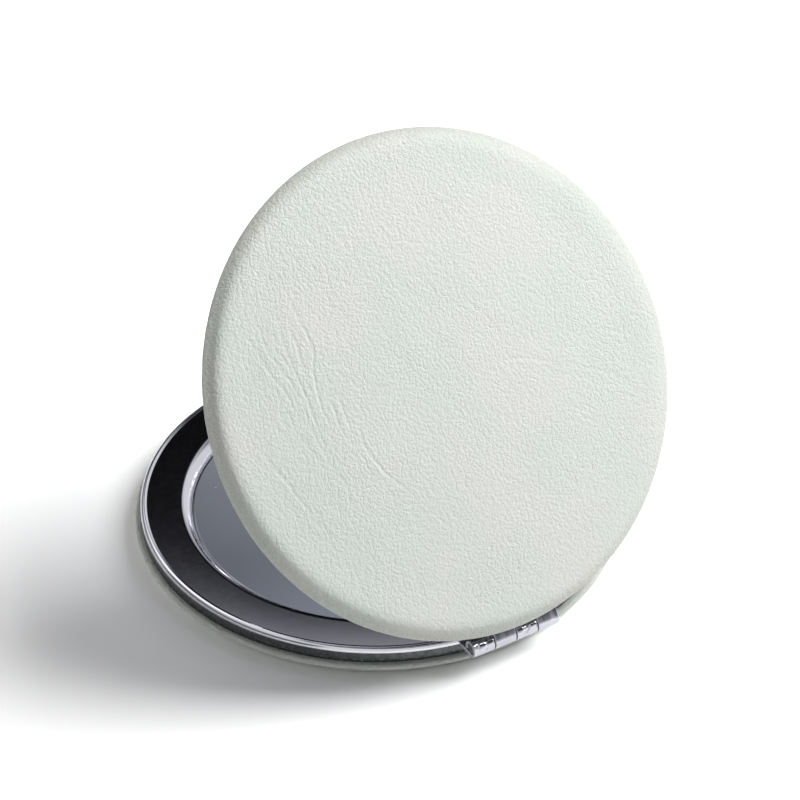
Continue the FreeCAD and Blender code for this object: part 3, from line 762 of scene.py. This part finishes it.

# %% [markdown]
# ## Hinge
# Each leaf is a strip spot-welded under the ring. Two of its tabs pass through the wall and are rolled
# round the pin into knuckles, and the knuckles of the two leaves take turns along it. Rolling dents thin
# sheet, so the base's knuckles carry shallow dents that break up their highlights. The tabs are painted dark
# and dull where they leave the roll, and the cut ends are matt. A knuckle's outline is carried along the
# pin's axis.

# %% Roll the knuckles
LEAF = 0.5
BORE_R = 0.75
KNUCKLE_R = BORE_R + LEAF
KNUCKLE, GAP = 3.3, 0.2
CURL_END, TIP_OUT, TIP_IN = 205, 9, 14
HINGE_END = reach("base_hinge_leaf")[1][0]
STRIP_IN = reach("base_hinge_leaf")[0][1]
STRIP_GAP = 0.2
STRIP_OUT = math.sqrt((CHANNEL_R - STRIP_GAP) ** 2 - HINGE_END ** 2)
TAB_IN, TAB_Z = STRIP_OUT - LEAF, AXIS[2] - KNUCKLE_R
EDGE, END_FLAT = 0.09, 0.06
CORNER = EDGE + END_FLAT + NEAR
# Each set of dents: its share, its waves round the roll, and its waves along it
DENTS = ((1, (1, 2, 3, 5), (0.9, 2.1, 3.7)), (0.35, (7, 11), (6.3, 9.1)))
DENT_PHASE, DENT_FADE = 6, 0.4
DARK_TAB_REACH = 0.3


def draw_out(loop, right, places):
    """Carries a closed outline (y, z) along X, shrunk at each place (x, inset) by its inset, to flat caps."""
    x, inset = np.array(places).T
    rings = loop - right * inset[:, None, None]
    points = np.concatenate([np.broadcast_to(x[:, None, None], rings.shape[:2] + (1,)), rings], axis=-1)
    normals = np.concatenate([0 * points[..., :1], np.broadcast_to(right, rings.shape)], axis=-1)
    rows = np.arange(rings.shape[0] * rings.shape[1]).reshape(rings.shape[:2])
    ahead = np.roll(rows, -1, axis=1)
    quads = np.stack([rows[:-1], ahead[:-1], ahead[1:], rows[1:]], axis=-1).reshape(-1, 4)
    return points, [quads, rows[:1, ::-1], rows[-1:]], normals


def stations(start, length, count):
    """Places along a drawn piece whose two ends are rounded by EDGE, round a narrow flat."""
    a = np.linspace(0, math.pi / 2, 4)
    middle = np.stack([np.linspace(2 * EDGE, length - 2 * EDGE, count), np.zeros(count)], axis=-1)
    first = np.stack([EDGE * (1 - np.cos(a)), EDGE * (1 - np.sin(a))], axis=-1)
    first = np.vstack([[0, EDGE + END_FLAT], first])
    last = np.stack([length - first[::-1, 0], first[::-1, 1]], axis=-1)
    return np.vstack([first, middle, last]) + [start, 0]


def knuckle_shell(start, dent, seed):
    """A tab and its roll: along the tab's underside, round outside to the curl's end, back round the bore.

    Dents are a sum of waves round and along the roll, of which only the inward half is kept.
    """
    y, z = AXIS[1:]
    tip = [(*arc(y, z, radius, CURL_END, CURL_END, 1)[0], CORNER) for radius in (KNUCKLE_R, BORE_R)]
    corners = [(TAB_IN, TAB_Z, CORNER), *arc(y, z, KNUCKLE_R, -90, CURL_END - TIP_OUT, 60), *tip]
    corners += arc(y, z, BORE_R, CURL_END - TIP_IN, -90, 50) + [(TAB_IN, TAB_Z + LEAF, CORNER)]
    loop, left = bend_path(corners, closed=True)
    points, faces, normals = draw_out(loop, -left, stations(start, KNUCKLE, 28))
    x, deep, up = np.moveaxis(points, -1, 0)
    around = np.arctan2(up - z, deep - y)
    outer = np.hypot(deep - y, up - z) > KNUCKLE_R - EDGE - NEAR
    outer &= deep > y - KNUCKLE_R - NEAR
    draw = np.random.default_rng(seed)
    push = sum(draw.normal() * share * np.sin(p * around + q * x + draw.uniform(0, DENT_PHASE))
               for share, turns, runs in DENTS for p in turns for q in runs)
    whole = np.clip(np.minimum(x - start, start + KNUCKLE - x) / DENT_FADE, 0, 1)
    depth = dent * np.clip(push, 0, None) * outer * whole * np.cos(around / 2) ** 2
    points = points - normals * depth[..., None]
    return points.reshape(-1, 3), faces, None


def leaf_shells(dent, seed):
    """The strip under the ring and two rolled tabs."""
    low, high = RING_UNDER - LEAF, RING_UNDER
    sides = ((STRIP_IN, low), (STRIP_OUT, low), (STRIP_OUT, high), (STRIP_IN, high))
    loop, left = bend_path([(*side, CORNER) for side in sides], closed=True)
    points, faces, _ = draw_out(loop, -left, stations(-HINGE_END, 2 * HINGE_END, 2))
    strip = (points.reshape(-1, 3), faces, None)
    starts = [HINGE_END - KNUCKLE - pair * 2 * (KNUCKLE + GAP) for pair in range(2)]
    return [strip] + [knuckle_shell(start, dent, seed + k) for k, start in enumerate(starts)]


for half, dent, seed in (("base", 0.04, 5), ("lid", 0.005, 8)):
    shells = leaf_shells(dent, seed)
    piece = make_piece(half + "_knuckles", half, shells, hinge_chrome, half + "_hinge_leaf")
    along = [shell[0][:, 0] for shell in shells]
    cut = np.concatenate([np.isin(x, (x.min(), x.max())) for x in along])
    deep, low = np.concatenate([shell[0] for shell in shells]).T[1:]
    # Where the tabs leave the roll they are painted dark and dull
    dark_tab = deep < AXIS[1] - KNUCKLE_R - NEAR
    dark_tab |= (deep < AXIS[1] - DARK_TAB_REACH) & (low < TAB_Z + LEAF + NEAR)
    mark(piece, "cut", cut)
    mark(piece, "painted_dark", dark_tab & ~cut)

# %% [markdown]
# The pin is a cut length of drawn steel wire, dull and dark at its cut ends. The ends are bevelled, and
# one of them is swaged so that it grips the base's first knuckle.

# %% Turn the pin
WIRE_RING = 0.25


def drawn_steel():
    """Dull grey wire with rings left by cutting, drawn coarse enough to show."""
    steel, tree = new_finish("drawn_steel_wire")
    place = add(tree, "TexCoord").outputs["Object"]
    rings = add(tree, "TexWave", {"Vector": place, "Scale": per_metre(WIRE_RING) / (2 * math.pi),
                                  "Distortion": 2.0, "Detail": 2.0}, bands_direction="X").outputs["Fac"]
    gloss = add(tree, "MapRange", {"Value": rings, "To Min": 0.45, "To Max": 0.6}).outputs[0]
    metal = add(tree, "BsdfPrincipled", {"Base Color": linear("#6C6C70"), "Metallic": 0.5,
                                         "Roughness": gloss})
    add(tree, "OutputMaterial", {"Surface": metal.outputs["BSDF"]})
    return steel


PIN_R = 0.7
PIN_BEVEL, PIN_ROUND, GRIP_ROUND = 0.2, 0.1, 0.02
GRIP = HINGE_END - KNUCKLE + GAP
pin_section = [
    (0, HINGE_END), (BORE_R - PIN_BEVEL, HINGE_END, PIN_ROUND), (BORE_R, HINGE_END - PIN_BEVEL, PIN_ROUND),
    (BORE_R, GRIP, GRIP_ROUND), (PIN_R, GRIP, GRIP_ROUND), (PIN_R, PIN_BEVEL - HINGE_END, PIN_ROUND),
    (PIN_R - PIN_BEVEL, -HINGE_END, PIN_ROUND), (0, -HINGE_END),
]
points, faces, normals = lathe(pin_section, 64)
# The lathe's axis Z becomes X
pin_shell = (points[:, [2, 0, 1]] + AXIS * [0, 1, 1], faces, normals[:, [2, 0, 1]])
make_piece("pin", "base", [pin_shell], drawn_steel(), "hinge_pin")

# %% [markdown]
# ## Inside
# Between skin and frame lie pieces that nobody sees until a half is taken apart: the sponge, the backing
# board, two films of tape and a small magnet. The sponge is soft, so it gets a rounded form of its own. The
# rest keep their CAD shapes, which are right, and get their finishes.

# %% Sponge pads
SPONGE_CELL = 0.35


def open_sponge():
    """Off-white foam: cells of about a third of a millimetre, bumped as pits and darker at their bottoms as
    painted shade.
    """
    sponge, tree = new_finish("open_cell_sponge")
    place = add(tree, "TexCoord").outputs["Object"]
    cells = add(tree, "TexVoronoi", {"Vector": place, "Scale": per_metre(SPONGE_CELL)}).outputs["Distance"]
    bump = add(tree, "Bump", {"Height": cells, "Strength": 0.8, "Distance": 0.1 * MM}).outputs["Normal"]
    # Painted shade: the colour is darkest at the bottoms of the pits
    tint = add(tree, "ValToRGB", {"Fac": cells}, [(0.0, "#C9C8BF"), (0.5, "#F0EFE8")])
    foam = add(tree, "BsdfPrincipled", {"Base Color": tint.outputs["Color"], "Roughness": 0.95,
                                        "Normal": bump})
    add(tree, "OutputMaterial", {"Surface": foam.outputs["BSDF"]})
    return sponge


sponge = open_sponge()
AIR, PAD_INSET, PAD_ROUND = 0.02, 0.3, 0.01
for half, face in FACES.items():
    section = [(0, BOARD_Z - AIR), (PAD_R - PAD_INSET, BOARD_Z - AIR, PAD_ROUND)]
    section.append((PAD_R - PAD_SLOPE, PAD_Z + CROWN + 2 * AIR))
    section += [(across, PAD_Z + drop + AIR) for across, drop in reversed(face)]
    pad = make_piece(half + "_sponge", half, [lathe(section, 240)], sponge, half + "_foam_pad")


# %% Finishes for the pieces that keep their CAD shape
def fibre_finish(name, dark, light, size, rough):
    """Pressed or felted fibres: two tones of stretched noise, with a little bump."""
    finish, tree = new_finish(name)
    place = add(tree, "TexCoord").outputs["Object"]
    laid = add(tree, "Mapping", {"Vector": place, "Scale": (1.0, 0.25, 1.0)}).outputs["Vector"]
    fibres = add(tree, "TexNoise", {"Vector": laid, "Scale": per_metre(size), "Detail": 5.0}).outputs["Fac"]
    tint = add(tree, "ValToRGB", {"Fac": fibres}, [(0.35, dark), (0.65, light)])
    bump = add(tree, "Bump", {"Height": fibres, "Strength": 0.4, "Distance": 0.03 * MM}).outputs["Normal"]
    surface = add(tree, "BsdfPrincipled", {"Base Color": tint.outputs["Color"], "Roughness": rough,
                                           "Normal": bump})
    add(tree, "OutputMaterial", {"Surface": surface.outputs["BSDF"]})
    return finish


def nickel_plate():
    """Satin nickel over a sintered magnet, with the tumbling marks that soften it."""
    nickel, tree = new_finish("satin_nickel_plate")
    place = add(tree, "TexCoord").outputs["Object"]
    marks = add(tree, "TexNoise", {"Vector": place, "Scale": per_metre(0.25), "Detail": 4.0}).outputs["Fac"]
    gloss = add(tree, "MapRange", {"Value": marks, "To Min": 0.2, "To Max": 0.42}).outputs[0]
    metal = add(tree, "BsdfPrincipled", {"Base Color": linear("#B5B1A8"), "Metallic": 1.0,
                                         "Roughness": gloss})
    add(tree, "OutputMaterial", {"Surface": metal.outputs["BSDF"]})
    return nickel


board = fibre_finish("pressed_fibreboard", "#7D7364", "#A3998A", 0.8, 0.8)
tape = fibre_finish("tissue_tape", "#DADAD2", "#F1F1EC", 0.5, 0.5)
nickel = nickel_plate()
KEPT = {"backing_board": board, "bonding_tape": tape, "mirror_tape": tape, "magnet": nickel}
for half in ("base", "lid"):
    for piece, finish in KEPT.items():
        mesh = frame["nodes"]["%s_%s" % (half, piece)].data
        mesh.materials.clear()
        mesh.materials.append(finish)
print("finishes set on", len(KEPT) * 2, "CAD pieces")

# %% [markdown]
# ## Studio
# The photograph has a white table, one soft lamp from the right and a soft fill. The fill is stronger near
# the horizon, and there from the left and the back. The table is white paint: it takes the shadow as any
# surface does, and what the camera, metal and glass see of it is lifted, more so far away, so that it reads
# as white. Chrome is only as dark as what it reflects, so a dome out of view carries soft flags, most of
# them dark and one bright, as a photographer's cards would. It is seen only in reflections.


# %% Table
def seen_directly(tree):
    """1 for what the camera, a reflection or a view through glass sees, and 0 for scattered light."""
    path = add(tree, "LightPath").outputs
    seen = add(tree, "Math", {0: path["Is Camera Ray"], 1: path["Is Glossy Ray"]}, operation="MAXIMUM")
    return add(tree, "Math", {0: seen.outputs[0], 1: path["Is Transmission Ray"]},
               operation="MAXIMUM").outputs[0]


TABLE_HALF, TABLE_DROP = 6.0, 0.05 * MM
TABLE_COLOUR, TABLE_SEEN, TABLE_FAR = 0.88, 1.47, 5.0
TABLE_NEAR_R, TABLE_FAR_R = 0.2, 1.2
white_table, tree = new_finish("white_table")
place = add(tree, "TexCoord").outputs["Object"]
away = add(tree, "VectorMath", {0: place}, operation="LENGTH").outputs["Value"]
lifted = add(tree, "MapRange", {"Value": away, "From Min": TABLE_NEAR_R, "From Max": TABLE_FAR_R,
                                "To Min": TABLE_SEEN, "To Max": TABLE_FAR}).outputs[0]
shade = add(tree, "MapRange", {"Value": seen_directly(tree), "To Min": TABLE_COLOUR,
                               "To Max": lifted}).outputs[0]
paint = add(tree, "BsdfDiffuse", {"Color": shade}).outputs[0]
add(tree, "OutputMaterial", {"Surface": paint})
square = TABLE_HALF * np.array([(-1, -1, 0), (1, -1, 0), (1, 1, 0), (-1, 1, 0)]) - [0, 0, TABLE_DROP]
table_mesh = bpy.data.meshes.new("table")
table_mesh.from_pydata(square.tolist(), [], [(0, 1, 2, 3)])
table_mesh.materials.append(white_table)
table = bpy.data.objects.new("table", table_mesh)
bpy.context.scene.collection.objects.link(table)
print("table of %.0f metres" % (2 * TABLE_HALF))

# %% Fill
FILL, FILL_LEAN = 0.6, (-0.195, -0.398, -0.727)
LOW_FILL, LOW_LEAN, LOW_POWER = 0.711, (0.639, -0.482, 0.0), 3.0
world = bpy.data.worlds.new("studio")
world.use_nodes = True
tree = world.node_tree
tree.nodes.clear()
towards = add(tree, "TexCoord").outputs["Generated"]
lean = add(tree, "VectorMath", {0: towards, 1: FILL_LEAN}, operation="DOT_PRODUCT").outputs["Value"]
fill = add(tree, "Math", {0: lean, 1: FILL}, operation="ADD").outputs[0]
lean = add(tree, "VectorMath", {0: towards, 1: LOW_LEAN}, operation="DOT_PRODUCT").outputs["Value"]
low = add(tree, "Math", {0: lean, 1: LOW_FILL}, operation="ADD").outputs[0]
height = add(tree, "SeparateXYZ", {"Vector": towards}).outputs["Z"]
depth = add(tree, "Math", {0: 1.0, 1: height}, operation="SUBTRACT", use_clamp=True).outputs[0]
share = add(tree, "Math", {0: depth, 1: LOW_POWER}, operation="POWER").outputs[0]
fill = add(tree, "Math", {0: low, 1: share, 2: fill}, operation="MULTIPLY_ADD").outputs[0]
fill = add(tree, "Math", {0: fill, 1: 0.0}, operation="MAXIMUM").outputs[0]
level = add(tree, "MapRange", {"Value": seen_directly(tree), "To Min": fill, "To Max": 1.0}).outputs[0]
surround = add(tree, "Background", {"Color": (1, 1, 1, 1), "Strength": level})
add(tree, "OutputWorld", {"Surface": surround.outputs[0]})
bpy.context.scene.world = world
print("fill of %.2f, with %.2f more near the horizon" % (FILL, LOW_FILL))

# %% Lamp
KEY_BEARING, KEY_HEIGHT = math.radians(156), math.radians(49.4)
KEY_AWAY, KEY_SIZE, KEY_LEVEL = 0.5, 0.32, 1.21
MIDDLE = Vector((0, 10, 20)) * MM


def soft_box(name, bearing, height, away, size, level):
    """A square lamp that lights a white surface facing it to a level: power is level pi pi away away."""
    lamp = bpy.data.lights.new(name, "AREA")
    lamp.size = size
    lamp.energy = level * math.pi ** 2 * away ** 2
    box = bpy.data.objects.new(name, lamp)
    bpy.context.scene.collection.objects.link(box)
    flat = math.cos(height)
    toward = Vector((math.cos(bearing) * flat, math.sin(bearing) * flat, math.sin(height))).normalized()
    box.location = MIDDLE + toward * away
    box.rotation_euler = toward.to_track_quat("Z", "Y").to_euler()
    box.visible_camera = False
    print("%s: %.2f watts" % (name, lamp.energy))


soft_box("key", KEY_BEARING, KEY_HEIGHT, KEY_AWAY, KEY_SIZE, KEY_LEVEL)

# %% Flags on a dome
DOME_AWAY = 1.0
toward_camera = math.degrees(math.atan2(CAMERA_AT[1], CAMERA_AT[0]))
# Each flag, in degrees: two bearings from the camera's, the softness of its sides, heights with tones
# Painted reflections: the dome glows with these tones and only reflections see it; its dark flags are painted
# dark reflections
FLAGS = {
    "back": ((167, 206), 20,
             [(39, 0.004), (40, 0.02), (41, 0.09), (42, 0.26), (43, 0.42), (47, 0.5), (50, 1)]),
    "low": ((155, 212), 8, [(10, 0.02), (18, 1)]),
    "high": ((60, 165), 12, [(40, 1), (50, 0.06), (75, 0.05), (82, 1)]),
    "hinge": ((42, 105), 10, [(14, 1), (24, 0.1), (46, 0.1), (54, 1)]),
    "left": ((195, 250), 10, [(18, 0.25), (30, 1)]),
    # A painted highlight: here the dome glows brighter than white
    "window": ((200, 252), 10, [(31, 1), (38, 1.7), (60, 1.7), (68, 1)]),
    "side": ((250, 335), 10, [(0, 0.2), (34, 0.25), (46, 1)]),
}
# Powers of the tone for red, green, blue and alpha: the darker a flag, the bluer
COOL = (1, 0.99, 0.95, 0)


def window(value, limits, soft):
    """1 between two limits and 0 beyond, with a smooth step at each."""
    share = np.clip(np.minimum(value - limits[0], limits[1] - value) / soft + 0.5, 0, 1)
    return share ** 2 * (3 - 2 * share)


bearing, rise = np.meshgrid(np.arange(360.0), np.linspace(-2, 88, 91), indexing="ij")
tone = np.ones_like(rise)
for limits, soft, heights in FLAGS.values():
    tone *= 1 - (1 - np.interp(rise, *zip(*heights))) * window(bearing, limits, soft)
turned, raised = np.radians(bearing + toward_camera), np.radians(rise)
flat = np.cos(raised)
points = DOME_AWAY * np.stack([flat * np.cos(turned), flat * np.sin(turned), np.sin(raised)], -1)
index = np.arange(rise.size).reshape(rise.shape)
ahead = np.roll(index, -1, axis=0)
quads = np.stack([index[:, :-1], index[:, 1:], ahead[:, 1:], ahead[:, :-1]], axis=-1).reshape(-1, 4)
dome_mesh = bpy.data.meshes.new("dome")
dome_mesh.from_pydata(points.reshape(-1, 3).tolist(), [], quads.tolist())
colours = (tone[..., None] ** np.array(COOL)).astype(np.float32)
dome_mesh.attributes.new("tone", "FLOAT_COLOR", "POINT").data.foreach_set("color", colours.ravel())
flagged, tree = new_finish("flagged_dome")
painted = add(tree, "Attribute", attribute_name="tone").outputs["Color"]
glow = add(tree, "Emission", {"Color": painted}).outputs[0]
add(tree, "OutputMaterial", {"Surface": glow})
dome_mesh.materials.append(flagged)
dome = bpy.data.objects.new("dome", dome_mesh)
bpy.context.scene.collection.objects.link(dome)
dome.visible_camera = dome.visible_diffuse = dome.visible_shadow = False
print("dome with", len(FLAGS), "flags")

# %% [markdown]
# ## Finish
# The Standard view transform shows colours as they were written.

# %% Show colours as written
bpy.context.scene.view_settings.view_transform = "Standard"
